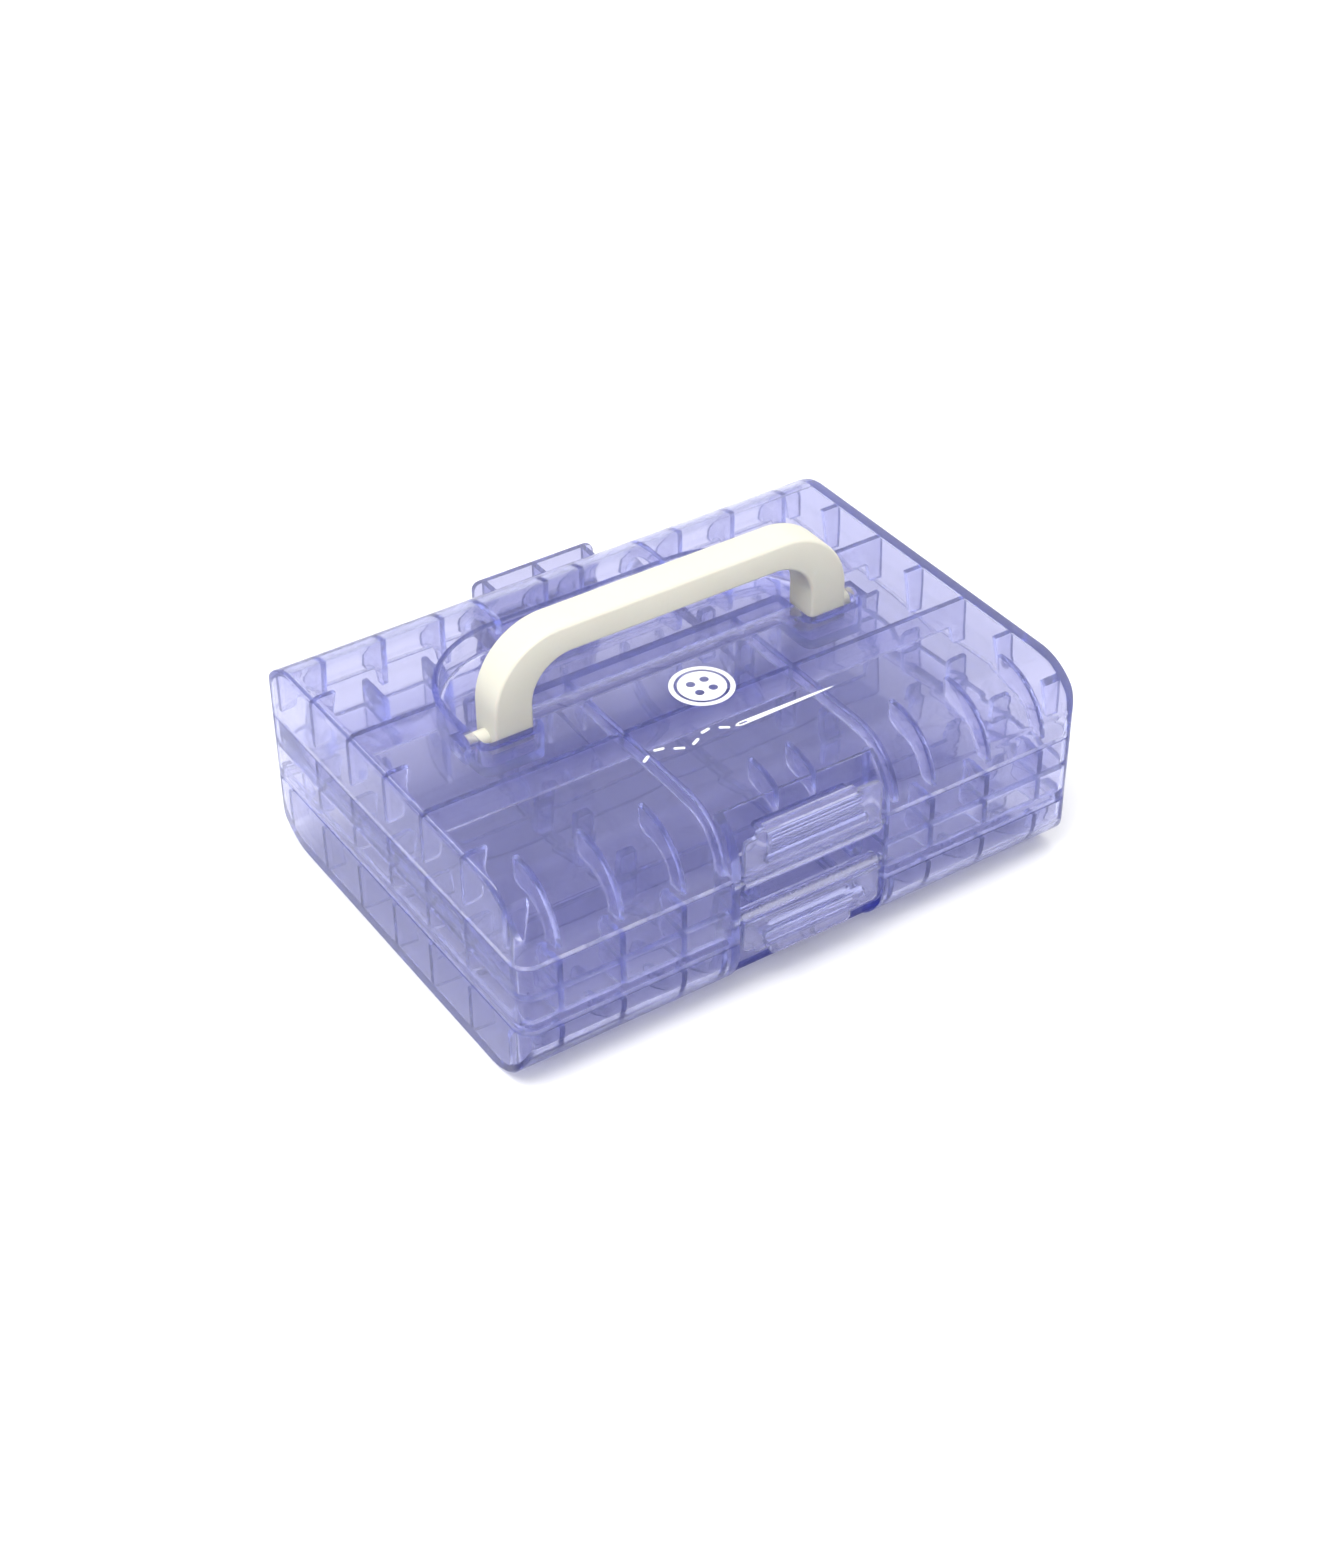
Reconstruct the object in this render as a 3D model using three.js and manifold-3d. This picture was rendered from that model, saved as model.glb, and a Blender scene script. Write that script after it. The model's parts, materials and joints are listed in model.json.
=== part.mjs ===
// Two-sided carry case: a middle tray with a lid above and a matching base below,
// each hinged to it at the back and latched at the front, and a folding bail handle.
// Millimetres, +Z up, -Y is the latch side. Origin: centre of the footprint, on the table.

import * as THREE from "three";
import { mergeVertices } from "three/addons/utils/BufferGeometryUtils.js";
import Module from "manifold-3d";

const manifold = await Module();
manifold.setup();

// ---- driving dimensions ----
const caseLength = 170; // X
const caseDepth = 130; // Y
const baseHeight = 19;
const trayHeight = 20.2;
const lidHeight = 18.7;
const seamGap = 0.3; // between stacked shells
const wall = 2;
const planCorner = 5; // vertical corner radius
const edgeRound = 17; // long front and back edges of the lid and base
const trayFloorThickness = 1.6;

const ribThickness = 1.6;
const ribRimGap = 2; // ribs stop short of the seam
const frontRibReach = 18.2; // from the inside of the front wall
const backRibDepth = 12;
const penRadius = 8.7; // the front ribs are hollowed to cradle a pen
const penFromWall = 13.2; // pen centre from the inside of the front wall
const penAboveSeam = 1.2;
const trayRibDepth = 9;
const ribPitch = 17.7;
const firstRibX = 38;
const ribsPerSide = 3;
const centreRibX = 5.7;
const lanePitch = 19; // Y pitch of the pen lanes
const sideStubLength = 6;
const sideStubTaper = 2;
const sideStubHeight = 14;
const bandX = 26;
const bandThickness = 1.8;
const bandDepth = 3.5;
const finDepth = 8;
const finY = 18.5;
const postLength = 5;
const postWidth = 3;
const postHeight = 8;
const endCornerRound = 3; // inside, where an end wall meets the flat face
const lipThickness = 1.4; // the tray's lower rim drops inside the base
const lipDrop = 1.6;
const lipRise = 2.4;

const recessHalfWidth = 22.3; // flat latch recess in the front of all three shells
const recessDepth = 7.7;
const recessWall = 1.8;

const wellHalfWidth = 57.8; // handle well in the top of the lid
const wellFrontY = 9.5;
const wellBackY = 41;
const wellDepth = 8.5;
const wellWall = 1.6;
const wellCornerRadius = 30;
const pocketFrontY = -5;
const pocketWidth = 16;
const bossReach = 3; // thickening behind the trunnion sockets
const bossSide = 1.4;

const handleHalfWidth = 54;
const handleRise = 25.5; // above the lid
const handleDepth = 10.6;
const legWidth = 11;
const barThickness = 8;
const handleOuterRound = 20;
const handleInnerRound = 12;
const trunnionRadius = 2.4;
const trunnionLength = 5.8;

const latchHalfWidth = 20.9;
const latchKnuckleRadius = 2.3;
const latchPinRadius = 1;
const latchPlate = 1.7;
const latchFaceInset = 0.2; // outer face of the plate behind the front of the case
const latchAxisInset = 2.6; // pin axis behind the front of the case
const latchPitch = 11.4; // between the two latch pins
const latchCorner = 3;
const latchReach = { top: 15.3, bottom: 11.4 }; // from pin axis to plate end
const gripHalfWidth = 15.5;
const gripDepth = 2;
const gripHeight = 2.6;
const gripFromEnd = { top: 7, bottom: 4.4 };
const hookHalfWidth = 14;
const hookHeight = 1.6;
const hookDepth = 2;
const tabHalfWidth = 12.5;
const tabHeight = 3;
const catchStandOff = 0.4; // height between catch and hook
const slotHeight = 2;

const hingeHalfWidth = 19.5;
const hingeKnuckleRadius = 1.6;
const hingePinRadius = 0.75;
const hingeLeafThickness = 1.7;
const hingeLeafReach = 12.6; // above the lid seam and below the base seam
const hingeLeafCorner = 2.5;
const hingeWebThickness = 1.6;
const knuckleCount = 5;

const clearance = 0.3; // between separate pieces
const pinClearance = 0.15; // radial, pin in its bore
const overlap = 0.5; // how far a fused feature runs into its wall

// ---- heights and places worked out from them ----
const trayBottom = baseHeight + seamGap;
const trayTop = trayBottom + trayHeight;
const lidBottom = trayTop + seamGap;
const lidTop = lidBottom + lidHeight;
const halfLength = caseLength / 2;
const halfDepth = caseDepth / 2;
const trayFloorMid = trayBottom + trayHeight / 2;
const recessFaceY = -halfDepth + recessDepth;
const lidHingeZ = trayTop + seamGap / 2;
const baseHingeZ = baseHeight + seamGap / 2;
const hingeY = halfDepth + clearance + hingeKnuckleRadius;
const leafOuterY = hingeY + hingeKnuckleRadius;
const latchAxisY = -halfDepth + latchAxisInset;
const topLatchZ = trayFloorMid + latchPitch / 2 + 1.3;
const bottomLatchZ = topLatchZ - latchPitch;
const wellFloorZ = lidTop - wellDepth;
const handleY = pocketFrontY + 1 + handleDepth / 2;
const handlePivotZ = wellFloorZ + 0.4 + handleDepth / 2;
const handleTop = lidTop + handleRise;

// the lid opens down to its seam, the base opens up to its own
const lidForm = { seam: lidBottom, height: lidHeight, up: 1 };
const baseForm = { seam: baseHeight, height: baseHeight, up: -1 };

// ---- turning geometry into solids and back ----
function toSolid(geometry) {
  geometry.deleteAttribute("normal");
  geometry.deleteAttribute("uv");
  const merged = mergeVertices(geometry);
  const mesh = new manifold.Mesh({
    numProp: 3,
    vertProperties: Float32Array.from(merged.attributes.position.array),
    triVerts: Uint32Array.from(merged.index.array),
  });
  return new manifold.Manifold(mesh);
}

function toGeometry(solid) {
  const mesh = solid.getMesh();
  const geometry = new THREE.BufferGeometry();
  geometry.setAttribute("position", new THREE.BufferAttribute(mesh.vertProperties, 3));
  geometry.setIndex(new THREE.BufferAttribute(mesh.triVerts, 1));
  geometry.computeVertexNormals();
  return geometry;
}

const join = (solids) => solids.reduce((whole, solid) => whole.add(solid));

function box(x0, x1, y0, y1, z0, z1) {
  const geometry = new THREE.BoxGeometry(x1 - x0, y1 - y0, z1 - z0);
  geometry.translate((x0 + x1) / 2, (y0 + y1) / 2, (z0 + z1) / 2);
  return toSolid(geometry);
}

// a shape drawn in one plane, run along the axis square to it
function prism(shape, along, from, to, curveSegments = 6) {
  const geometry = new THREE.ExtrudeGeometry(shape, {
    depth: to - from, bevelEnabled: false, curveSegments,
  });
  const x = new THREE.Vector3(1, 0, 0);
  const y = new THREE.Vector3(0, 1, 0);
  const z = new THREE.Vector3(0, 0, 1);
  const turn = new THREE.Matrix4();
  if (along === "x") turn.makeBasis(y, z, x).setPosition(from, 0, 0);
  if (along === "y") turn.makeBasis(x, z, y.clone().negate()).setPosition(0, to, 0);
  if (along === "z") turn.setPosition(0, 0, from);
  geometry.applyMatrix4(turn);
  return toSolid(geometry);
}

function rodX(radius, x0, x1, y, z, sides = 20) {
  const geometry = new THREE.CylinderGeometry(radius, radius, x1 - x0, sides);
  geometry.rotateZ(Math.PI / 2);
  geometry.translate((x0 + x1) / 2, y, z);
  return toSolid(geometry);
}

function roundedPlan(halfX, halfY, radius) {
  const shape = new THREE.Shape();
  shape.absarc(halfX - radius, halfY - radius, radius, 0, Math.PI / 2);
  shape.absarc(-halfX + radius, halfY - radius, radius, Math.PI / 2, Math.PI);
  shape.absarc(-halfX + radius, -halfY + radius, radius, Math.PI, Math.PI * 1.5);
  shape.absarc(halfX - radius, -halfY + radius, radius, Math.PI * 1.5, Math.PI * 2);
  return shape;
}

// points on the rounded long edge, from the upright wall (0) towards the flat face (1)
function edgeArc(form, inset, side, end = 1, steps = 8) {
  const radius = edgeRound - inset;
  const points = [];
  for (let i = 0; i <= steps; i++) {
    const angle = (Math.PI / 2) * end * (i / steps);
    const y = halfDepth - edgeRound + radius * Math.cos(angle);
    const rise = form.height - edgeRound + radius * Math.sin(angle);
    points.push(new THREE.Vector2(side * y, form.seam + form.up * rise));
  }
  return points;
}

// end view of a lid or base, drawn in by inset, running past the seam by extra
function endView(form, inset, extra = 0) {
  const open = form.seam - form.up * extra;
  const y = halfDepth - inset;
  return new THREE.Shape([
    new THREE.Vector2(-y, open),
    ...edgeArc(form, inset, -1),
    ...edgeArc(form, inset, 1).reverse(),
    new THREE.Vector2(y, open),
  ]);
}

// ---- lid and base shells ----
function zSpan(form, from, to) {
  const a = form.seam + form.up * from;
  const b = form.seam + form.up * to;
  return [Math.min(a, b), Math.max(a, b)];
}

function roundedBlock(form, inset, extra) {
  const body = prism(endView(form, inset, extra), "x", -halfLength + inset, halfLength - inset);
  const plan = roundedPlan(halfLength - inset, halfDepth - inset, planCorner - inset * 0.9);
  return body.intersect(prism(plan, "z", -caseDepth, caseDepth));
}

// the hollow of a shell, with its end walls rounded into the flat face
function shellHollow(form) {
  const half = halfLength - wall;
  const face = form.height - wall;
  const points = [];
  for (const hand of [-1, 1]) {
    const side = [new THREE.Vector2(hand * half, form.seam - form.up * 5)];
    for (let i = 0; i <= 3; i++) {
      const angle = (Math.PI / 2) * (i / 3);
      const x = half - endCornerRound * (1 - Math.cos(angle));
      const rise = face - endCornerRound * (1 - Math.sin(angle));
      side.push(new THREE.Vector2(hand * x, form.seam + form.up * rise));
    }
    points.push(...(hand < 0 ? side : side.reverse()));
  }
  const sideView = prism(new THREE.Shape(points), "y", -halfDepth, halfDepth);
  return roundedBlock(form, wall, 5).intersect(sideView);
}

// ribs fill the space between the shell and a straight inner edge, reach from the wall
function wallRib(form, x, side, reach) {
  const innerY = halfDepth - wall - reach;
  const [y0, y1] = [side * innerY, side * halfDepth].sort((a, b) => a - b);
  const [z0, z1] = zSpan(form, ribRimGap, form.height);
  const skin = prism(endView(form, wall - overlap), "x", x - ribThickness / 2, x + ribThickness / 2);
  return skin.intersect(box(x - 1, x + 1, y0, y1, z0, z1));
}

function frontRib(form, x) {
  const penY = -halfDepth + wall + penFromWall;
  const penZ = form.seam + form.up * penAboveSeam;
  const pen = rodX(penRadius, x - 1, x + 1, penY, penZ, 36);
  const [z0, z1] = zSpan(form, -5, penAboveSeam);
  const under = box(x - 1, x + 1, penY - penRadius, 0, z0, z1);
  const inner = penY + penRadius * 0.2;
  const step = zSpan(form, -5, penAboveSeam + penRadius + 0.6);
  const behind = box(x - 1, x + 1, inner, 0, ...step);
  return wallRib(form, x, -1, frontRibReach).subtract(pen).subtract(under).subtract(behind);
}

// a tapered stub on an end wall
function sideStub(form, hand, y) {
  const face = form.height - wall;
  const root = halfLength - wall + overlap;
  const free = halfLength - wall - sideStubLength;
  const [low, high] = [face - sideStubHeight, face + overlap];
  const at = (x, rise) => new THREE.Vector2(hand * x, form.seam + form.up * rise);
  const outline = new THREE.Shape([
    at(root, low), at(free + sideStubTaper, low), at(free, high), at(root, high),
  ]);
  return prism(outline, "y", y - ribThickness / 2, y + ribThickness / 2);
}

function shellRibs(form) {
  const ribs = [];
  const face = form.height - wall;
  const finEnd = halfLength - wall + overlap;
  for (const hand of [-1, 1]) {
    const bandFrom = hand * bandX - bandThickness / 2;
    const bandTo = hand * bandX + bandThickness / 2;
    const bandOuter = prism(endView(form, wall - overlap), "x", bandFrom, bandTo);
    const bandInner = prism(endView(form, wall + bandDepth, 1), "x", bandFrom - 1, bandTo + 1);
    const bandRows = box(-halfLength, halfLength, -halfDepth, halfDepth,
      ...zSpan(form, ribRimGap, form.height));
    ribs.push(bandOuter.subtract(bandInner).intersect(bandRows));
    for (let i = 0; i < ribsPerSide; i++) {
      const x = hand * (firstRibX + i * ribPitch);
      ribs.push(frontRib(form, x));
      ribs.push(wallRib(form, x, 1, backRibDepth));
    }
    ribs.push(frontRib(form, hand * centreRibX));
    ribs.push(wallRib(form, hand * centreRibX, 1, backRibDepth));
    for (const lane of [-3, -2, 0, 2, 3]) ribs.push(sideStub(form, hand, lane * lanePitch));
    for (const side of [-1, 1]) ribs.push(sideStub(form, hand, side * finY));
  }
  for (const side of [-1, 1]) {
    ribs.push(box(-finEnd, finEnd, side * finY - ribThickness / 2, side * finY + ribThickness / 2,
      ...zSpan(form, face - finDepth, face + overlap)));
  }
  return join(ribs);
}

const recessBlock = (z0, z1) => box(
  -recessHalfWidth - recessWall, recessHalfWidth + recessWall,
  -halfDepth, recessFaceY + recessWall, z0, z1,
);

const recessCut = (z0, z1) => box(
  -recessHalfWidth, recessHalfWidth, -halfDepth - 5, recessFaceY, z0, z1,
);

// a small ledge on the recess face, just on the seam side of the latch hook
function catchLedge(hookNearZ, up) {
  const near = hookNearZ - up * catchStandOff;
  const far = near - up * hookHeight;
  const reach = recessDepth - latchFaceInset - latchPlate - hookDepth - clearance;
  return box(
    -hookHalfWidth, hookHalfWidth, recessFaceY - reach, recessFaceY + overlap,
    Math.min(near, far), Math.max(near, far),
  );
}

function openShell(form) {
  const outer = roundedBlock(form, 0, 0);
  const cavity = shellHollow(form);
  const [z0, z1] = zSpan(form, 0, form.height);
  const ribs = shellRibs(form).intersect(outer);
  return outer.subtract(cavity)
    .add(ribs)
    .add(recessBlock(z0, z1).intersect(outer))
    .subtract(recessCut(z0 - 1, z1 + 1));
}

// plan of the handle well, grown by offset; the two foot pockets reach forwards
function wellPlan(offset) {
  const side = wellHalfWidth + offset;
  const pocketInner = wellHalfWidth - pocketWidth - offset;
  const arcX = wellHalfWidth - wellCornerRadius;
  const arcY = wellBackY - wellCornerRadius;
  const front = wellFrontY - offset;
  const shape = new THREE.Shape();
  shape.moveTo(-side, pocketFrontY - offset);
  shape.lineTo(-pocketInner, pocketFrontY - offset);
  shape.lineTo(-pocketInner, front);
  shape.lineTo(pocketInner, front);
  shape.lineTo(pocketInner, pocketFrontY - offset);
  shape.lineTo(side, pocketFrontY - offset);
  shape.absarc(arcX, arcY, wellCornerRadius + offset, 0, Math.PI / 2);
  shape.absarc(-arcX, arcY, wellCornerRadius + offset, Math.PI / 2, Math.PI);
  return shape;
}

// the sockets for the handle's trunnions are bored in thickened ends of the well
function wellBosses(grow) {
  const reach = trunnionRadius + bossSide + grow;
  return join([-1, 1].map((hand) => {
    const [x0, x1] = [hand * wellHalfWidth, hand * (wellHalfWidth + wellWall + bossReach + grow)]
      .sort((a, b) => a - b);
    return box(x0, x1, handleY - reach, handleY + reach, handlePivotZ - reach, lidTop);
  }));
}

// a cup that hangs in the lid's top face and takes the folded handle
function makeWell() {
  const outer = prism(wellPlan(wellWall), "z", wellFloorZ - wellWall, lidTop, 8);
  const inner = prism(wellPlan(0), "z", wellFloorZ, lidTop + 5, 8);
  const socket = trunnionRadius + clearance;
  const socketEnd = handleHalfWidth + trunnionLength + clearance;
  return outer.add(wellBosses(0)).intersect(roundedBlock(lidForm, 0, 0)).subtract(inner)
    .subtract(rodX(socket, -socketEnd, socketEnd, handleY, handlePivotZ));
}

function makeLid() {
  const latchEnd = topLatchZ + latchReach.top;
  const hookNearZ = latchEnd - hookHeight - 0.5;
  const wellHole = prism(wellPlan(wellWall + clearance), "z",
    wellFloorZ - wellWall - clearance, lidTop + 5, 8);
  const bossHole = wellBosses(clearance);
  const above = bossHole.translate([0, 0, 1]);
  return openShell(lidForm).subtract(wellHole).subtract(bossHole).subtract(above)
    .add(catchLedge(hookNearZ, 1));
}

function makeBase() {
  const latchEnd = bottomLatchZ - latchReach.bottom;
  return openShell(baseForm).add(catchLedge(latchEnd + hookHeight + 0.5, -1));
}

// ---- middle tray ----
// the lower rim is thickened and drops just inside the base, open at the latch recess
function trayLip() {
  const ring = (from, to, z0, z1) => {
    const outer = roundedPlan(halfLength - from, halfDepth - from, planCorner - from);
    const inner = roundedPlan(halfLength - to, halfDepth - to, planCorner - to);
    return prism(outer, "z", z0, z1).subtract(prism(inner, "z", z0 - 1, z1 + 1));
  };
  const inset = wall + clearance;
  const lowest = trayBottom - lipDrop;
  const drop = ring(inset, inset + lipThickness, lowest, trayBottom + overlap);
  const rise = ring(wall - overlap, inset + lipThickness, trayBottom, trayBottom + lipRise);
  const half = recessHalfWidth + recessWall + clearance;
  const gap = box(-half, half, -halfDepth, recessFaceY + recessWall + clearance,
    lowest - 1, trayBottom);
  return drop.subtract(gap).add(rise);
}

function trayPost(x, y, up) {
  const [z0, z1] = [trayFloorMid, trayFloorMid + up * (trayFloorThickness / 2 + postHeight)]
    .sort((a, b) => a - b);
  return box(x - postLength / 2, x + postLength / 2, y - postWidth / 2, y + postWidth / 2, z0, z1);
}

function makeTray() {
  const plan = roundedPlan(halfLength, halfDepth, planCorner);
  const innerPlan = roundedPlan(halfLength - wall, halfDepth - wall, planCorner - wall);
  const outer = prism(plan, "z", trayBottom, trayTop);
  const floorHalf = trayFloorThickness / 2;
  const upper = prism(innerPlan, "z", trayFloorMid + floorHalf, trayTop + 1);
  const lower = prism(innerPlan, "z", trayBottom - 1, trayFloorMid - floorHalf);
  const ribs = [];
  const z0 = trayBottom + ribRimGap;
  const z1 = trayTop - ribRimGap;
  const wallX = halfLength - wall + overlap;
  const wallY = halfDepth - wall + overlap;
  for (const hand of [-1, 1]) {
    for (let i = 0; i < ribsPerSide; i++) {
      const x = hand * (firstRibX + i * ribPitch);
      const reach = halfDepth - wall;
      ribs.push(box(x - ribThickness / 2, x + ribThickness / 2,
        -wallY, -reach + trayRibDepth, z0, z1));
      ribs.push(box(x - ribThickness / 2, x + ribThickness / 2,
        reach - backRibDepth, wallY, z0, z1));
    }
    for (const lane of [-2, -1, 0, 1, 2]) {
      const y = lane * lanePitch;
      const [x0, x1] = [hand * (halfLength - wall - sideStubLength), hand * wallX]
        .sort((a, b) => a - b);
      ribs.push(box(x0, x1, y - ribThickness / 2, y + ribThickness / 2, z0, z1));
      ribs.push(trayPost(hand * firstRibX, y, 1));
      ribs.push(trayPost(hand * firstRibX, y, -1));
    }
  }
  const bore = latchPinRadius + pinClearance;
  const boreEnd = recessHalfWidth + recessWall * 0.75;
  return outer.subtract(upper).subtract(lower)
    .add(join(ribs))
    .add(trayLip())
    .add(recessBlock(trayBottom, trayTop))
    .subtract(recessCut(trayBottom - 1, trayTop + 1))
    .subtract(rodX(bore, -boreEnd, boreEnd, latchAxisY, topLatchZ))
    .subtract(rodX(bore, -boreEnd, boreEnd, latchAxisY, bottomLatchZ));
}

// ---- handle ----
function makeHandle() {
  const outer = handleHalfWidth;
  const inner = handleHalfWidth - legWidth;
  const foot = handlePivotZ - handleDepth / 2;
  const underBar = handleTop - barThickness;
  const outline = new THREE.Shape();
  outline.moveTo(outer, foot);
  outline.absarc(outer - handleOuterRound, handleTop - handleOuterRound, handleOuterRound,
    0, Math.PI / 2);
  outline.absarc(-outer + handleOuterRound, handleTop - handleOuterRound, handleOuterRound,
    Math.PI / 2, Math.PI);
  outline.lineTo(-outer, foot);
  outline.lineTo(-inner, foot);
  outline.absarc(-inner + handleInnerRound, underBar - handleInnerRound, handleInnerRound,
    Math.PI, Math.PI / 2, true);
  outline.absarc(inner - handleInnerRound, underBar - handleInnerRound, handleInnerRound,
    Math.PI / 2, 0, true);
  outline.lineTo(inner, foot);
  const bail = prism(outline, "y", handleY - handleDepth / 2, handleY + handleDepth / 2, 10);
  // each foot ends in a half round about its pivot
  const half = handleDepth / 2;
  const roundFoot = new THREE.Shape();
  roundFoot.moveTo(handleY + half, handleTop + 1);
  roundFoot.lineTo(handleY - half, handleTop + 1);
  roundFoot.absarc(handleY, handlePivotZ, half, Math.PI, Math.PI * 2);
  const trunnionEnd = outer + trunnionLength;
  return bail.intersect(prism(roundFoot, "x", -outer - 1, outer + 1, 10))
    .add(rodX(trunnionRadius, -trunnionEnd, -inner - 1, handleY, handlePivotZ))
    .add(rodX(trunnionRadius, inner + 1, trunnionEnd, handleY, handlePivotZ));
}

// ---- latches: up = 1 reaches up over the lid, up = -1 reaches down over the base ----
function makeLatch(axisZ, up, reach, gripFromTip) {
  const faceY = -halfDepth + latchFaceInset;
  const tip = axisZ + up * reach;
  const rows = (from, to) => {
    const a = axisZ + up * from;
    const b = axisZ + up * to;
    return [Math.min(a, b), Math.max(a, b)];
  };
  const half = latchHalfWidth;
  const c = latchCorner;
  const outline = new THREE.Shape();
  outline.moveTo(-half, axisZ);
  outline.lineTo(-half, tip - up * c);
  outline.quadraticCurveTo(-half, tip, -half + c, tip);
  outline.lineTo(half - c, tip);
  outline.quadraticCurveTo(half, tip, half, tip - up * c);
  outline.lineTo(half, axisZ);
  const plate = prism(outline, "y", faceY, faceY + latchPlate, 4);
  const grip = box(-gripHalfWidth, gripHalfWidth, faceY - gripDepth, faceY + overlap,
    ...rows(reach - gripFromTip - gripHeight, reach - gripFromTip));
  const hook = box(-hookHalfWidth, hookHalfWidth, faceY + latchPlate - overlap,
    faceY + latchPlate + hookDepth, ...rows(reach - hookHeight - 0.5, reach - 0.5));
  const knuckle = rodX(latchKnuckleRadius, -half, half, latchAxisY, axisZ);
  const bore = rodX(latchPinRadius + pinClearance, -half - 1, half + 1, latchAxisY, axisZ, 16);
  const parts = [plate, grip, hook, knuckle];
  if (up < 0) {
    const tab = box(-tabHalfWidth, tabHalfWidth, faceY, faceY + latchPlate,
      ...rows(reach - overlap, reach + tabHeight));
    parts.push(tab);
  }
  let latch = join(parts).subtract(bore);
  if (up < 0) {
    const slotFrom = reach - gripFromTip - gripHeight;
    latch = latch.subtract(box(-gripHalfWidth + 1, gripHalfWidth - 1, faceY - 5,
      faceY + latchPlate, ...rows(slotFrom - slotHeight, slotFrom)));
  }
  return latch;
}

const latchPin = (z) => rodX(latchPinRadius,
  -recessHalfWidth - recessWall * 0.75 + clearance, recessHalfWidth + recessWall * 0.75 - clearance,
  latchAxisY, z, 16);

// ---- back hinges ----
// the hinge line is split into equal knuckles, numbered from the -X end
function knuckleSpan(index) {
  const pitch = (2 * hingeHalfWidth) / knuckleCount;
  const from = -hingeHalfWidth + index * pitch;
  return [from + clearance / 2, from + pitch - clearance / 2];
}

function knuckles(axisZ, indices, up) {
  const solids = [];
  for (const index of indices) {
    const [x0, x1] = knuckleSpan(index);
    const far = axisZ + up * (hingeKnuckleRadius + clearance + overlap);
    solids.push(rodX(hingeKnuckleRadius, x0, x1, hingeY, axisZ, 16));
    solids.push(box(x0, x1, leafOuterY - hingeLeafThickness, leafOuterY,
      Math.min(axisZ, far), Math.max(axisZ, far)));
  }
  return join(solids);
}

const hingeBore = (axisZ) => rodX(hingePinRadius + pinClearance,
  -hingeHalfWidth - 1, hingeHalfWidth + 1, hingeY, axisZ, 16);

// the leaf plate stands off the shell on three webs that follow the rounded edge
function makeShellLeaf(form, axisZ) {
  const near = axisZ + form.up * (hingeKnuckleRadius + clearance);
  const far = form.seam + form.up * hingeLeafReach;
  const half = hingeHalfWidth - clearance / 2;
  const c = hingeLeafCorner;
  const outline = new THREE.Shape();
  outline.moveTo(-half, near);
  outline.lineTo(-half, far - form.up * c);
  outline.quadraticCurveTo(-half, far, -half + c, far);
  outline.lineTo(half - c, far);
  outline.quadraticCurveTo(half, far, half, far - form.up * c);
  outline.lineTo(half, near);
  const plate = prism(outline, "y", leafOuterY - hingeLeafThickness, leafOuterY, 4);
  const webs = [];
  for (const x of [-half + c + hingeWebThickness / 2, 0, half - c - hingeWebThickness / 2]) {
    webs.push(box(x - hingeWebThickness / 2, x + hingeWebThickness / 2,
      halfDepth - edgeRound / 2, leafOuterY - overlap, Math.min(near, far), Math.max(near, far)));
  }
  const shellSpace = prism(endView(form, -clearance, 5), "x", -halfLength, halfLength);
  return join(webs).subtract(shellSpace).add(plate)
    .add(knuckles(axisZ, [0, 2, 4], form.up))
    .subtract(hingeBore(axisZ));
}

function makeTrayLeaf() {
  const half = hingeHalfWidth - clearance / 2;
  const low = baseHingeZ + hingeKnuckleRadius + clearance;
  const high = lidHingeZ - hingeKnuckleRadius - clearance;
  const plate = box(-half, half, halfDepth + clearance, leafOuterY, low, high);
  return join([
    plate,
    knuckles(lidHingeZ, [1, 3], -1),
    knuckles(baseHingeZ, [1, 3], 1),
  ]).subtract(hingeBore(lidHingeZ)).subtract(hingeBore(baseHingeZ));
}

const hingePin = (z) => rodX(hingePinRadius, -hingeHalfWidth, hingeHalfWidth, hingeY, z, 16);

// ---- the assembly ----
const clearBlue = { color: 0xb9b9e6, roughness: 0.22, metalness: 0 };
const ivory = { color: 0xf4f2e6, roughness: 0.42, metalness: 0 };
const steel = { color: 0xb8bac0, roughness: 0.3, metalness: 1 };

const carryCase = new THREE.Group();

function addPiece(name, solid, finish) {
  const mesh = new THREE.Mesh(toGeometry(solid), new THREE.MeshStandardMaterial(finish));
  mesh.name = name;
  carryCase.add(mesh);
}

addPiece("base_shell", makeBase(), clearBlue);
addPiece("base_hinge_leaf", makeShellLeaf(baseForm, baseHingeZ), clearBlue);
addPiece("base_hinge_pin", hingePin(baseHingeZ), steel);
addPiece("middle_tray", makeTray(), clearBlue);
addPiece("tray_hinge_leaf", makeTrayLeaf(), clearBlue);
addPiece("lid_hinge_pin", hingePin(lidHingeZ), steel);
addPiece("top_latch_pin", latchPin(topLatchZ), steel);
addPiece("bottom_latch_pin", latchPin(bottomLatchZ), steel);
addPiece("top_latch", makeLatch(topLatchZ, 1, latchReach.top, gripFromEnd.top), clearBlue);
addPiece("bottom_latch", makeLatch(bottomLatchZ, -1, latchReach.bottom, gripFromEnd.bottom),
  clearBlue);
addPiece("lid_shell", makeLid(), clearBlue);
addPiece("lid_handle_well", makeWell(), clearBlue);
addPiece("lid_hinge_leaf", makeShellLeaf(lidForm, lidHingeZ), clearBlue);
addPiece("handle", makeHandle(), ivory);

export default carryCase;
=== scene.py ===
# Two-sided lilac carry case: lid, middle tray and base, two latches, back hinges, folding handle.
# Metres, +Z up, -Y is the latch side. Sizes in the dictionaries are millimetres.
import json
import math

import bmesh
import bpy
from mathutils import Matrix, Vector

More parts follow.
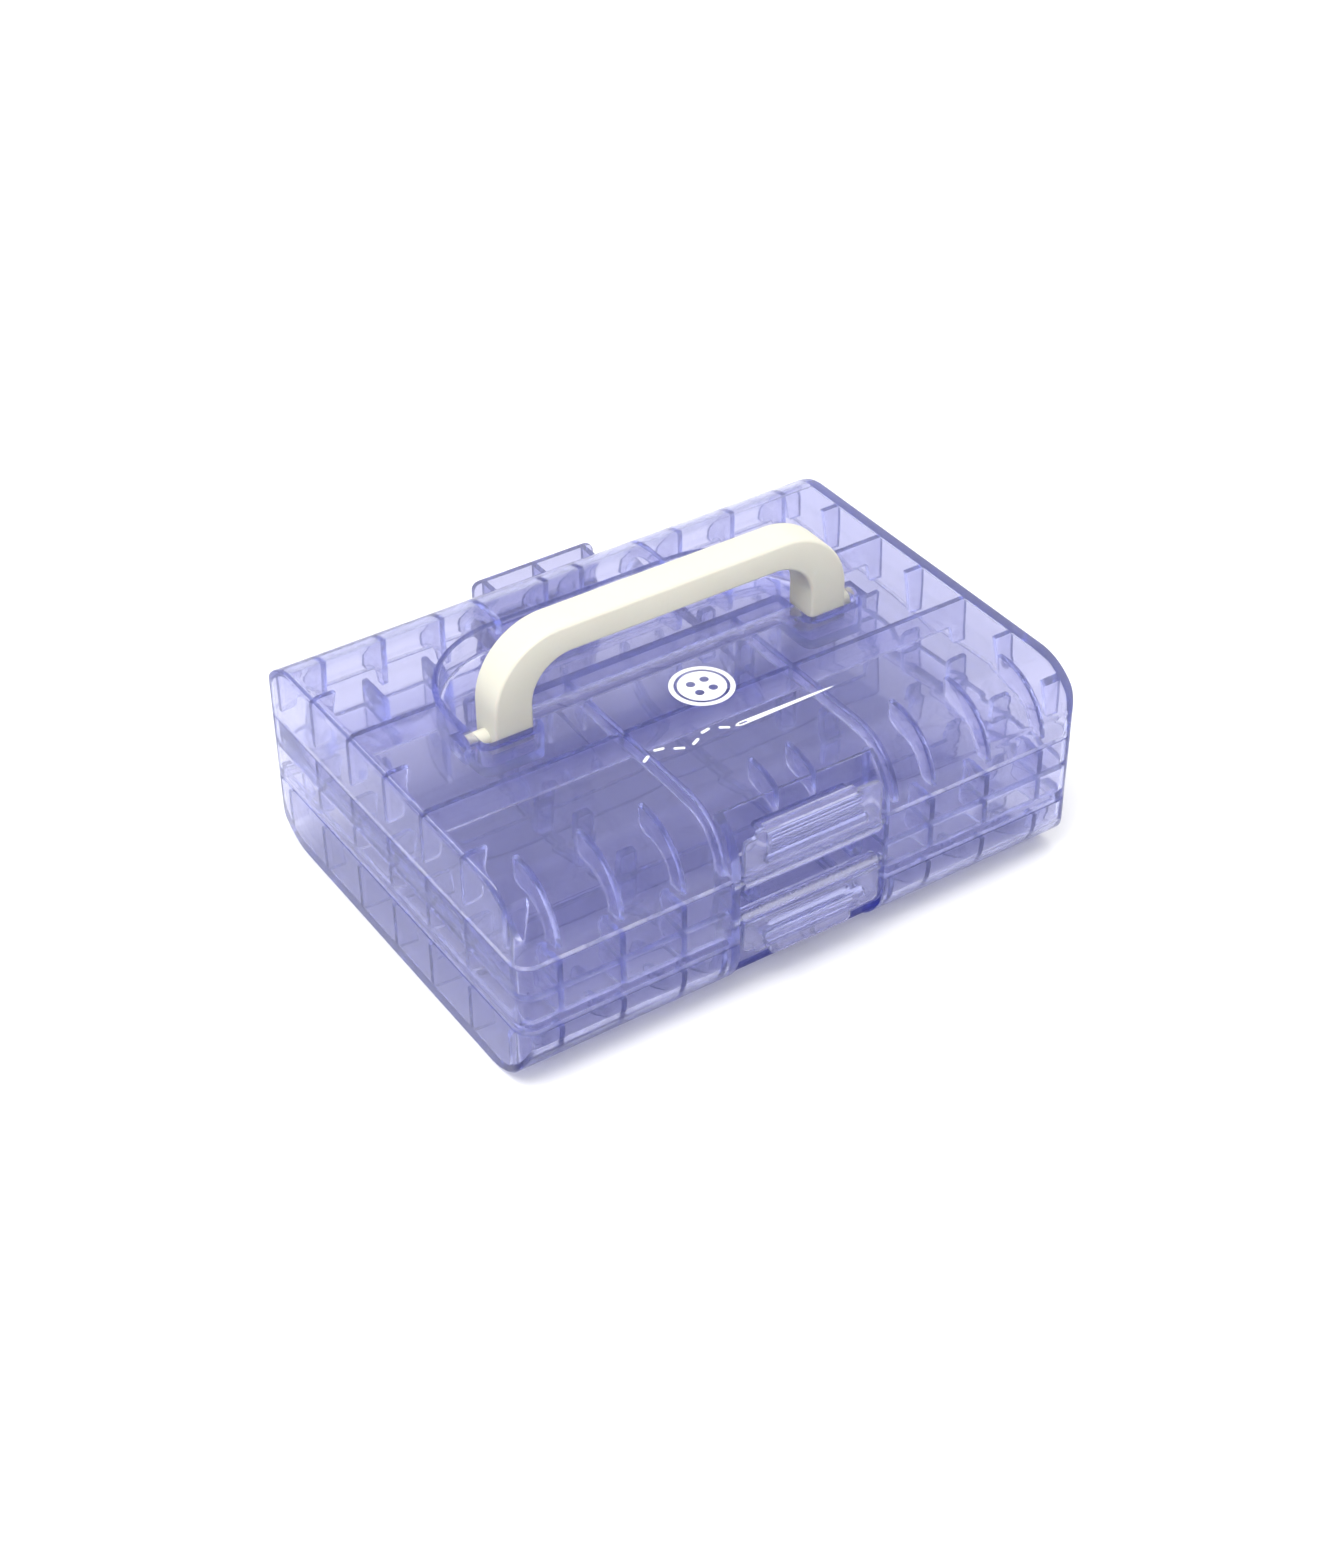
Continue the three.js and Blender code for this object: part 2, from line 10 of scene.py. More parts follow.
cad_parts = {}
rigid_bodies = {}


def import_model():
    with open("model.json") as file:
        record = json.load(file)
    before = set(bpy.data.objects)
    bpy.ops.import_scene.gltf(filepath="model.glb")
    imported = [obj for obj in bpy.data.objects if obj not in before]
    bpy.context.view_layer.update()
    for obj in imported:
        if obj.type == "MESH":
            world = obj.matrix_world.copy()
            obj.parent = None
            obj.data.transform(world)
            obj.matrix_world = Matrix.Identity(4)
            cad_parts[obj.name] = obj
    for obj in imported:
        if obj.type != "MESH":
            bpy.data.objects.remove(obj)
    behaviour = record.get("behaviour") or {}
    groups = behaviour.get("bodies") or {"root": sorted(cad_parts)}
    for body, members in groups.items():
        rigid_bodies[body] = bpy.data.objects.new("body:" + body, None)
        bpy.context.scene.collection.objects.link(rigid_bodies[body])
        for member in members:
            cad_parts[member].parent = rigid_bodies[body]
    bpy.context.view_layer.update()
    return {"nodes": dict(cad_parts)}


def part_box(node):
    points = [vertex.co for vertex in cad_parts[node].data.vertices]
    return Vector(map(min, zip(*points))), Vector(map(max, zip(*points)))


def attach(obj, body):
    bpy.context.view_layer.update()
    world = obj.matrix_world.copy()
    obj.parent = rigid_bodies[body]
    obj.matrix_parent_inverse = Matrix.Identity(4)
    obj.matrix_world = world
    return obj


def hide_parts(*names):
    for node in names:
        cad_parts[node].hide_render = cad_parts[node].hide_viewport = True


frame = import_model()
mm = 0.001
for leftover in [o for o in bpy.data.objects if o.name in ("Cube", "Light", "Camera")]:
    bpy.data.objects.remove(leftover)
print("stage: frame loaded,", len(frame["nodes"]), "pieces")


# shader maths
class Wire:
    def __init__(self, board, socket):
        self.board, self.socket = board, socket

    def calc(self, operation, first, second):
        return self.board.add("ShaderNodeMath", {"operation": operation}, {0: first, 1: second})

    def __add__(self, other): return self.calc("ADD", self, other)
    def __radd__(self, other): return self.calc("ADD", other, self)
    def __sub__(self, other): return self.calc("SUBTRACT", self, other)
    def __rsub__(self, other): return self.calc("SUBTRACT", other, self)
    def __mul__(self, other): return self.calc("MULTIPLY", self, other)
    def __rmul__(self, other): return self.calc("MULTIPLY", other, self)


class NodeBoard:
    def __init__(self, tree):
        self.tree = tree
        tree.nodes.clear()

    def add(self, kind, settings=None, inputs=None, out=0):  # settings first, then values or links
        node = self.tree.nodes.new(kind)
        for key, value in (settings or {}).items():
            if key == "stops":
                ramp = node.color_ramp.elements
                while len(ramp) < len(value):
                    ramp.new(0.5)
                for stop, (place, colour) in zip(ramp, value):
                    stop.position, stop.color = place, colour
            else:
                setattr(node, key, value)
        for key, value in (inputs or {}).items():
            if isinstance(value, Wire):
                self.tree.links.new(value.socket, node.inputs[key])
            else:
                node.inputs[key].default_value = value
        return Wire(self, node.outputs[out]) if len(node.outputs) else node


def newMaterial(name):
    material = bpy.data.materials.new(name)
    material.use_nodes = True
    return material, NodeBoard(material.node_tree)


def noise(board, scale, detail=3.0, roughness=0.5):
    place = board.add("ShaderNodeTexCoord", out="Object")
    return board.add("ShaderNodeTexNoise", {}, {"Vector": place, "Scale": scale,
                     "Detail": detail, "Roughness": roughness})


plastic = {
    "tint": (0.915, 0.897, 0.925), "ior": 1.33, "through": 0.98, "alpha": 0.88,
    "roughness": 0.02, "roughnessSpread": 0.03,
    "absorb": (0.07, 0.17, 0.86), "density": 72.0,
    # scatter and paintedGlowStrength set a faint blue emission: a painted glow standing in for
    # light scattered inside the plastic
    "rippleScale": 90.0, "rippleHeight": 0.03, "paintedGlowColour": (0.32, 0.36, 1.0), "paintedGlowStrength": 0.018,
}


def clearPlastic(name, sizes):
    material, board = newMaterial(name)
    flow = noise(board, sizes["rippleScale"], 2.0)
    cloud = noise(board, sizes["rippleScale"] * 4, 4.0)
    bump = board.add("ShaderNodeBump", {}, {"Height": flow, "Strength": sizes["rippleHeight"],
                                            "Distance": 0.001})
    tintLow = (*[c * 0.97 for c in sizes["tint"]], 1)
    colour = board.add("ShaderNodeMix", {"data_type": "RGBA"},
                       {0: cloud, 6: tintLow, 7: (*sizes["tint"], 1)}, out=2)
    surface = board.add("ShaderNodeBsdfPrincipled", {}, {
        "Base Color": colour, "Roughness": sizes["roughness"] + cloud * sizes["roughnessSpread"],
        "IOR": sizes["ior"], "Transmission Weight": sizes["through"], "Normal": bump,
        # the emission is a painted blue glow; the plastic shines a little by itself, with no lamp
        "Alpha": sizes["alpha"], "Emission Color": (*sizes["paintedGlowColour"], 1),
        "Emission Strength": sizes["paintedGlowStrength"]})
    body = board.add("ShaderNodeVolumeAbsorption", {}, {
        "Color": (*sizes["absorb"], 1), "Density": sizes["density"]})
    board.add("ShaderNodeOutputMaterial", {}, {"Surface": surface, "Volume": body})
    return material


ivory = {
    "light": (0.70, 0.685, 0.59), "dark": (0.66, 0.645, 0.55), "roughness": 0.38,
    "roughnessSpread": 0.08, "cloudScale": 60.0, "grain": 900.0, "grainHeight": 0.12,
    "softness": (0.1, 0.003),
}


def ivoryPlastic():
    material, board = newMaterial("ivoryPlastic")
    cloud = noise(board, ivory["cloudScale"])
    grain = noise(board, ivory["grain"], 2.0)
    colour = board.add("ShaderNodeMix", {"data_type": "RGBA"},
                       {0: cloud, 6: (*ivory["dark"], 1), 7: (*ivory["light"], 1)}, out=2)
    bump = board.add("ShaderNodeBump", {}, {
        "Height": grain, "Strength": ivory["grainHeight"], "Distance": 0.0003})
    softness, softDepth = ivory["softness"]
    surface = board.add("ShaderNodeBsdfPrincipled", {}, {
        "Base Color": colour, "Normal": bump,
        "Roughness": ivory["roughness"] + cloud * ivory["roughnessSpread"],
        "Subsurface Weight": softness, "Subsurface Scale": softDepth})
    board.add("ShaderNodeOutputMaterial", {}, {"Surface": surface})
    return material


fitting = {**plastic, "through": 0.93, "alpha": 0.9, "roughness": 0.04}
hingeTint = {**fitting, "tint": (0.62, 0.61, 0.75)}
steel = {"shade": (0.52, 0.54, 0.66), "roughness": 0.22}
ink = {"shade": (0.92, 0.92, 0.94), "roughness": 0.45}


def plainLook(name, sizes, metallic, grain, spread):  # steel and ink: a fine grain in one shade
    material, board = newMaterial(name)
    cloud = noise(board, grain, 4.0)
    dark = (*[c * 0.9 for c in sizes["shade"]], 1)
    colour = board.add("ShaderNodeMix", {"data_type": "RGBA"},
                       {0: cloud, 6: dark, 7: (*sizes["shade"], 1)}, out=2)
    bump = board.add("ShaderNodeBump", {}, {"Height": cloud, "Strength": 0.05, "Distance": 0.0002})
    surface = board.add("ShaderNodeBsdfPrincipled", {}, {
        "Base Color": colour, "Metallic": metallic, "Normal": bump,
        "Roughness": sizes["roughness"] + cloud * spread})
    board.add("ShaderNodeOutputMaterial", {}, {"Surface": surface})
    return material


clearShell = clearPlastic("clearShell", plastic)
clearFitting = clearPlastic("clearFitting", fitting)
clearHinge = clearPlastic("clearHinge", hingeTint)
ivoryLook = ivoryPlastic()
pinSteel = plainLook("pinSteel", steel, 1.0, 700.0, 0.12)
whiteInk = plainLook("whiteInk", ink, 0.0, 900.0, 0.15)
# shape building
case = {
    "length": 170, "depth": 130, "wall": 2, "cornerRound": 5, "edgeRound": 17, "outerEdge": 0.6,
    "seamGap": 0.3, "beyond": 99, "arcSteps": 24, "insideRound": 1.2,
}
halfLength, halfDepth = case["length"] / 2, case["depth"] / 2
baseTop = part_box("base_shell")[1].z / mm
trayLow, trayHigh = baseTop + case["seamGap"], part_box("middle_tray")[1].z / mm
lidLow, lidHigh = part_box("lid_shell")[0].z / mm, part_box("lid_shell")[1].z / mm
lidForm = {"seam": lidLow, "height": lidHigh - lidLow, "up": 1}
baseForm = {"seam": baseTop, "height": baseTop, "up": -1}


def newPiece(name, mesh):
    piece = bpy.data.objects.new(name, mesh)
    bpy.context.scene.collection.objects.link(piece)
    return piece


def meshFrom(name, points, faces):
    mesh = bpy.data.meshes.new(name)
    mesh.from_pydata([Vector(p) * mm for p in points], [], faces)
    shape = bmesh.new()
    shape.from_mesh(mesh)
    bmesh.ops.remove_doubles(shape, verts=shape.verts, dist=1e-7)
    bmesh.ops.recalc_face_normals(shape, faces=shape.faces)
    shape.to_mesh(mesh)
    shape.free()
    return mesh


placeFor = {
    "x": lambda a, b, run: (run, a, b),
    "y": lambda a, b, run: (a, run, b),
    "z": lambda a, b, run: (a, b, run),
}


def prism(name, outline, along, low, high):  # a flat outline run along one axis
    put, count = placeFor[along], len(outline)
    points = [put(a, b, low) for a, b in outline] + [put(a, b, high) for a, b in outline]
    sides = [(i, (i + 1) % count, (i + 1) % count + count, i + count) for i in range(count)]
    faces = sides + [tuple(range(count)), tuple(range(2 * count - 1, count - 1, -1))]
    return newPiece(name, meshFrom(name, points, faces))


def block(name, x, y, z):
    return prism(name, [(x[0], y[0]), (x[1], y[0]), (x[1], y[1]), (x[0], y[1])], "z", *z)


def arc(centre, radius, start, end, steps):
    turns = [math.radians(start + (end - start) * i / steps) for i in range(steps + 1)]
    return [(centre[0] + radius * math.cos(t), centre[1] + radius * math.sin(t)) for t in turns]


def rod(name, radius, x0, x1, y, z, sides=48):
    return prism(name, arc((y, z), radius, 0, 360 * (1 - 1 / sides), sides - 1), "x", x0, x1)


def roundCorners(points, radius, steps=5):  # radius: one number, or one for each corner
    result, count = [], len(points)
    radii = radius if isinstance(radius, (list, tuple)) else [radius] * count
    for i, corner in enumerate(points):
        here = Vector(corner)
        back, ahead = Vector(points[i - 1]) - here, Vector(points[(i + 1) % count]) - here
        half = back.angle(ahead) / 2
        if radii[i] <= 0 or half > math.radians(85):
            result.append(tuple(here))
            continue
        run = min(radii[i] / math.tan(half), back.length * 0.49, ahead.length * 0.49)
        start, end = here + back.normalized() * run, here + ahead.normalized() * run
        for k in range(steps + 1):
            t = k / steps
            point = start * (1 - t) ** 2 + here * 2 * t * (1 - t) + end * t ** 2
            result.append(tuple(point))
    return result


def span(form, near, far):  # heights counted from the seam into the shell
    ends = [form["seam"] + form["up"] * near, form["seam"] + form["up"] * far]
    return min(ends), max(ends)


def roundedPlan(halfX, halfY, radius, steps=10):
    corners = [(halfX, halfY, 0), (-halfX, halfY, 90), (-halfX, -halfY, 180), (halfX, -halfY, 270)]
    outline = []
    for x, y, start in corners:
        centre = (x - math.copysign(radius, x), y - math.copysign(radius, y))
        outline += arc(centre, radius, start, start + 90, steps)
    return outline


def endView(form, inset, past):
    radius = case["edgeRound"] - inset
    centre = (halfDepth - case["edgeRound"], form["height"] - case["edgeRound"])
    edge = arc(centre, radius, 0, 90, case["arcSteps"])
    outline = [(halfDepth - inset, -past)] + edge
    outline += [(-y, rise) for y, rise in reversed(outline)]
    return [(y, form["seam"] + form["up"] * rise) for y, rise in outline]


def merge(piece, other, how="UNION"):
    step = piece.modifiers.new(how.lower(), "BOOLEAN")
    step.object, step.operation, step.solver = other, how, "MANIFOLD"
    return piece


def settle(piece):  # turns live modifiers into plain mesh and drops the pieces they used
    used = {step.object for step in piece.modifiers if step.type == "BOOLEAN"}
    bpy.context.view_layer.update()
    view = bpy.context.evaluated_depsgraph_get()
    mesh = bpy.data.meshes.new_from_object(piece.evaluated_get(view))
    piece.modifiers.clear()
    piece.data = mesh
    for other in used:
        bpy.data.objects.remove(other)
    return piece


def bevel(piece, width, segments=3, angle=35):
    step = piece.modifiers.new("edges", "BEVEL")
    step.width, step.segments, step.limit_method = width * mm, segments, "ANGLE"
    step.angle_limit, step.use_clamp_overlap = math.radians(angle), False
    step.miter_outer = "MITER_ARC"
    return piece


def finishPiece(piece, body, look, replaced, smooth=32):
    mesh = piece.data
    shape = bmesh.new()
    shape.from_mesh(mesh)
    bmesh.ops.remove_doubles(shape, verts=shape.verts, dist=2e-7)
    bmesh.ops.triangulate(shape, faces=[f for f in shape.faces if len(f.verts) > 4])
    for face in shape.faces:
        face.smooth, face.material_index = True, 0
    for edge in shape.edges:
        edge.smooth = len(edge.link_faces) == 2 and edge.calc_face_angle(0) < math.radians(smooth)
    shape.to_mesh(mesh)
    shape.free()
    mesh.materials.clear()
    mesh.materials.append(look)
    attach(piece, body)
    if replaced:
        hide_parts(*replaced)
    print("piece:", piece.name, len(mesh.polygons), "faces")
    return piece


# Geometry Nodes: copies of one moulded feature, set out by named sizes
def newTree(name, inputs):
    tree = bpy.data.node_groups.new(name, "GeometryNodeTree")
    tree.interface.new_socket("Geometry", in_out="INPUT", socket_type="NodeSocketGeometry")
    for label, kind in inputs:
        tree.interface.new_socket(label, in_out="INPUT", socket_type="NodeSocket" + kind)
    tree.interface.new_socket("Geometry", in_out="OUTPUT", socket_type="NodeSocketGeometry")
    board = NodeBoard(tree)
    source = tree.nodes.new("NodeGroupInput")
    return tree, board, {s.name: Wire(board, s) for s in source.outputs if s.name}


def closeTree(board, geometry, material):
    real = board.add("GeometryNodeRealizeInstances", {}, {"Geometry": geometry})
    done = board.add("GeometryNodeSetMaterial", {}, {"Geometry": real, "Material": material})
    end = board.tree.nodes.new("NodeGroupOutput")
    board.tree.links.new(done.socket, end.inputs["Geometry"])


def vectorOf(board, **parts):
    return board.add("ShaderNodeCombineXYZ", {}, parts)


def joined(board, *geometry):
    node = board.tree.nodes.new("GeometryNodeJoinGeometry")
    for item in geometry:
        board.tree.links.new(item.socket, node.inputs[0])
    return Wire(board, node.outputs[0])


def rowTree():  # Count copies one Step apart from First on; Mirror adds the other side
    tree, board, given = newTree("rowOfCopies", [
        ("First", "Vector"), ("Step", "Vector"), ("Count", "Int"), ("Mirror", "Vector"),
        ("Turn", "Vector"), ("Material", "Material")])
    points = board.add("GeometryNodeMeshLine", {"mode": "OFFSET"}, {
        "Count": given["Count"], "Start Location": given["First"], "Offset": given["Step"]})
    other = board.add("GeometryNodeTransform", {}, {"Geometry": points, "Scale": given["Mirror"]})
    copies = board.add("GeometryNodeInstanceOnPoints", {}, {
        "Points": points, "Instance": given["Geometry"]})
    mirrored = board.add("GeometryNodeInstanceOnPoints", {}, {
        "Points": other, "Instance": given["Geometry"], "Rotation": given["Turn"]})
    near = board.add("FunctionNodeCompare", {"data_type": "VECTOR", "operation": "EQUAL"},
                     {"A": given["Mirror"], "B": (1, 1, 1), "Epsilon": 0.01})
    kept = board.add("GeometryNodeSwitch", {"input_type": "GEOMETRY"}, {
        "Switch": near, "False": mirrored})
    closeTree(board, joined(board, copies, kept), given["Material"])
    return tree


copyRow = rowTree()


def row(piece, first, step, count, mirror=(1, 1, 1), turn=(0, 0, 0), look=None):
    work = piece.modifiers.new("row", "NODES")
    work.node_group = copyRow
    keys = {item.name: item.identifier for item in copyRow.interface.items_tree
            if item.in_out == "INPUT"}
    values = {"First": [c * mm for c in first], "Step": [c * mm for c in step], "Count": count,
              "Mirror": mirror, "Turn": [math.radians(c) for c in turn],
              "Material": look or clearShell}
    for label, value in values.items():
        work[keys[label]] = value
    return settle(piece)


# the three shells
ribs = {
    "rimGap": 2.0, "thick": 1.6, "sink": 0.5, "edge": 0.22,
    "first": 38, "pitch": 17.7, "count": 3, "centre": 5.7,
    "frontReach": 44.8, "frontTip": [(0, 11.6), (0.5, 10.9), (3.4, 9.9)],
    "cradle": (49.8, 1.2), "cradleRadius": 8.7, "frontFoot": (58.6, 2.0),
    "backReach": 51, "backTip": [(0, 3.0), (0.8, 2.2)],
    "notch": (57.2, 2.2), "notchRadius": 2.9,
    "bandX": 26, "bandThick": 1.8, "bandDepth": 3.5, "finY": 18.5, "finDepth": 8,
    "lane": 19, "stubTop": 77, "stubLow": 79, "stubTall": 14,
}
recess = {"half": 22.3, "face": -57.3, "wall": 1.8, "edge": 0.35}
catch = {"half": 14, "deep": 3.5, "top": (47.6, 49.2), "bottom": (16.1, 17.7)}


def onSide(form, side, outline):  # (distance from the middle, height from the seam) to (y, z)
    return [(side * y, form["seam"] + form["up"] * rise) for y, rise in outline]


def wallCurve(form, inset, low, innerY):  # up the wall and round the long edge to innerY
    radius = case["edgeRound"] - inset
    centre = (halfDepth - case["edgeRound"], form["height"] - case["edgeRound"])
    stop = 90
    if innerY > centre[0]:
        stop = math.degrees(math.acos((innerY - centre[0]) / radius))
    points = [(halfDepth - inset, low)] + arc(centre, radius, 0, stop, 16)
    return points if innerY > centre[0] else points + [(innerY, form["height"] - inset)]


def frontRibOutline(form):
    inset = case["wall"] - ribs["sink"]
    outline = wallCurve(form, inset, ribs["rimGap"], ribs["frontReach"])
    outline += [(ribs["frontReach"] + out, rise) for out, rise in ribs["frontTip"]]
    outline += arc(ribs["cradle"], ribs["cradleRadius"], 98, 8, 18)
    return onSide(form, -1, outline + [ribs["frontFoot"]])


def backRibOutline(form):
    inset = case["wall"] - ribs["sink"]
    outline = wallCurve(form, inset, ribs["rimGap"], ribs["backReach"])
    outline += [(ribs["backReach"] + out, rise) for out, rise in ribs["backTip"]]
    return onSide(form, 1, outline + arc(ribs["notch"], ribs["notchRadius"], 180, 0, 14))


def ribPlate(name, outline, along):
    half = ribs["thick"] / 2
    return settle(bevel(prism(name, outline, along, -half, half), ribs["edge"], 2, 50))


def ribRow(name, outline):
    rib = ribPlate(name, outline, "x")
    return row(rib, (ribs["first"], 0, 0), (ribs["pitch"], 0, 0), ribs["count"], (-1, 1, 1))


def centreRibs(name, outline):
    rib = ribPlate(name, outline, "x")
    return row(rib, (ribs["centre"], 0, 0), (0, 0, 0), 1, (-1, 1, 1))


def stubRows(form):  # short tapered ribs on both end walls, one at each pen lane
    face = form["height"] - case["wall"]
    wall = halfLength - case["wall"] + ribs["sink"]
    outline = [(wall, face - ribs["stubTall"]), (ribs["stubLow"] + 0.6, face - ribs["stubTall"]),
               (ribs["stubLow"], face - ribs["stubTall"] + 0.6), (ribs["stubTop"], face + 0.5),
               (wall, face + 0.5)]
    outline = [(x, form["seam"] + form["up"] * rise) for x, rise in outline]
    rows = []
    lane, fin = ribs["lane"], ribs["finY"]
    for first, step, count in ((2 * lane, lane, 2), (-fin, fin, 3), (-3 * lane, lane, 2)):
        stub = ribPlate("stub", outline, "y")
        rows.append(row(stub, (0, first, 0), (0, step, 0), count, (1, -1, 1), (0, 0, 180)))
    return rows


def lidRibs(form):
    face, sink = form["height"] - case["wall"], ribs["sink"]
    pieces = [ribRow("frontRibs", frontRibOutline(form)), ribRow("backRibs", backRibOutline(form)),
              centreRibs("centreFront", frontRibOutline(form)),
              centreRibs("centreBack", backRibOutline(form))]
    half = ribs["thick"] / 2
    fin = block("fin", (-halfLength + case["wall"] - sink, halfLength - case["wall"] + sink),
                (-half, half), span(form, face - ribs["finDepth"], face + sink))
    settle(bevel(fin, ribs["edge"], 2, 50))
    pieces.append(row(fin, (0, ribs["finY"], 0), (0, -2 * ribs["finY"], 0), 2))
    band = prism("band", endView(form, case["wall"] - sink, -2), "x", -ribs["bandThick"] / 2,
                 ribs["bandThick"] / 2)
    merge(band, prism("bandCut", endView(form, case["wall"] + ribs["bandDepth"], 5), "x", -9, 9),
          "DIFFERENCE")
    merge(band, block("rimGap", (-9, 9), (-99, 99), span(form, -9, ribs["rimGap"])), "DIFFERENCE")
    settle(band)
    settle(bevel(band, ribs["edge"], 2, 50))
    pieces.append(row(band, (ribs["bandX"], 0, 0), (0, 0, 0), 1, (-1, 1, 1)))
    return pieces + stubRows(form)


def outerBlock(name, form, inset, past):
    body = prism(name, endView(form, inset, past), "x", -halfLength + inset, halfLength - inset)
    plan = roundedPlan(halfLength - inset, halfDepth - inset, case["cornerRound"] - inset * 0.9)
    return settle(merge(body, prism("plan", plan, "z", -50, 150), "INTERSECT"))


def hollow(form):
    face, wall = form["height"] - case["wall"], case["wall"]
    body = outerBlock("hollow", form, wall, 6)
    half, turn = halfLength - wall, case["insideRound"]
    side = [(half, -6), (half, face - turn)] + arc((half - turn, face - turn), turn, 0, 90, 10)
    side += [(-x, rise) for x, rise in reversed(side)]
    side = [(x, form["seam"] + form["up"] * rise) for x, rise in side]
    sideView = prism("sideView", side, "y", -case["beyond"], case["beyond"])
    return settle(merge(body, sideView, "INTERSECT"))


def recessBlock(z):
    half = recess["half"] + recess["wall"]
    return block("recessBlock", (-half, half), (-halfDepth, recess["face"] + recess["wall"]), z)


def recessCut(z):
    cut = block("recessCut", (-recess["half"], recess["half"]), (-case["beyond"], recess["face"]),
                (z[0] - 9, z[1] + 9))
    return cut


def shellBody(name, form):
    skin = outerBlock(name, form, 0, 4)
    settle(bevel(skin, case["outerEdge"], 5, 40))
    whole = span(form, 0, form["height"])
    solid = outerBlock("solid", form, 0, 0)
    merge(skin, hollow(form), "DIFFERENCE")
    for piece in lidRibs(form):
        merge(skin, piece)
    merge(skin, recessBlock(whole))
    merge(skin, solid, "INTERSECT")
    merge(skin, recessCut(whole), "DIFFERENCE")
    return settle(skin)


def catchBar(rows):
    bar = block("catchBar", (-catch["half"], catch["half"]),
                (recess["face"] - catch["deep"], recess["face"] + 0.5), rows)
    return settle(bevel(bar, 0.3, 3))


well = {
    "half": 57.8, "front": 9.5, "back": 41, "floor": 50.0, "wall": 1.6, "corner": 30,
    "pocketFront": -5, "pocketWide": 16, "cornerRound": 2.2, "boss": 4.6, "bossSide": 3.8,
    "socket": 2.7, "socketEnd": 60.1, "pivot": (1.3, 55.7),
}


def wellPlan(grow):
    side, inner = well["half"] + grow, well["half"] - well["pocketWide"] - grow
    low, front = well["pocketFront"] - grow, well["front"] - grow
    arcX, arcY = well["half"] - well["corner"], well["back"] - well["corner"]
    radius = well["corner"] + grow
    turn = max(0.6, well["cornerRound"] + grow)
    step = well["cornerRound"] - grow if grow else well["cornerRound"]
    points = [(-side, low), (-inner, low), (-inner, front), (inner, front), (inner, low),
              (side, low)]
    outline = roundCorners([(-side, arcY)] + points + [(side, arcY)],
                           [0, turn, turn, max(step, 0.5), max(step, 0.5), turn, turn, 0])
    return outline + arc((arcX, arcY), radius, 0, 90, 24)[1:] + arc((-arcX, arcY), radius,
                                                                    90, 180, 24)[:-1]


def buildLid():
    lid = shellBody("lidShell", lidForm)
    merge(lid, prism("wellOuter", wellPlan(well["wall"]), "z", well["floor"] - well["wall"],
                     lidHigh - 0.4))
    y, z = well["pivot"]
    for hand in (-1, 1):
        ends = sorted((hand * (well["half"] - 0.5), hand * (well["half"] + well["boss"])))
        merge(lid, block("boss", ends, (y - well["bossSide"], y + well["bossSide"]),
                         (z - well["bossSide"], lidHigh - 0.4)))
    inner = prism("wellInner", wellPlan(0), "z", well["floor"], lidHigh + 9)
    settle(bevel(inner, 1.0, 4, 60))
    merge(lid, inner, "DIFFERENCE")
    merge(lid, catchBar(catch["top"]))
    merge(lid, rod("sockets", well["socket"], -well["socketEnd"], well["socketEnd"], y, z),
          "DIFFERENCE")
    settle(lid)
    return finishPiece(lid, "lid", clearShell, ["lid_shell", "lid_handle_well"])


def buildBase():
    base = shellBody("baseShell", baseForm)
    merge(base, catchBar(catch["bottom"]))
    settle(base)
    return finishPiece(base, "base", clearShell, ["base_shell"])


tray = {
    "floorMid": 29.4, "floorThick": 1.6, "ribGap": 2, "frontDepth": 9, "backDepth": 12,
    "stub": 6, "postX": 38, "post": (5, 3, 8), "lip": 1.4, "lipDrop": 1.6, "lipRise": 2.4,
    "slack": 0.3, "bore": 1.15, "boreEnd": 23.65, "axisY": -62.4, "axisZ": (36.4, 25.0),
    "lug": (3.5, -62.0, (28.0, 33.3)), "lugAt": 15.8,
}


def ring(name, outer, inner, rounds, z):
    body = prism(name, roundedPlan(halfLength - outer, halfDepth - outer, rounds[0]), "z", *z)
    hole = prism("hole", roundedPlan(halfLength - inner, halfDepth - inner, rounds[1]), "z",
                 z[0] - 1, z[1] + 1)
    return settle(merge(body, hole, "DIFFERENCE"))


def roundedPlate(name, x, y, z, along, radius, corners):  # a flat rib, two of its corners rounded
    low, high = y if along == "x" else x
    outline = roundCorners([(low, z[0]), (high, z[0]), (high, z[1]), (low, z[1])],
                           [radius * c for c in corners])
    return ribPlate(name, outline, along)


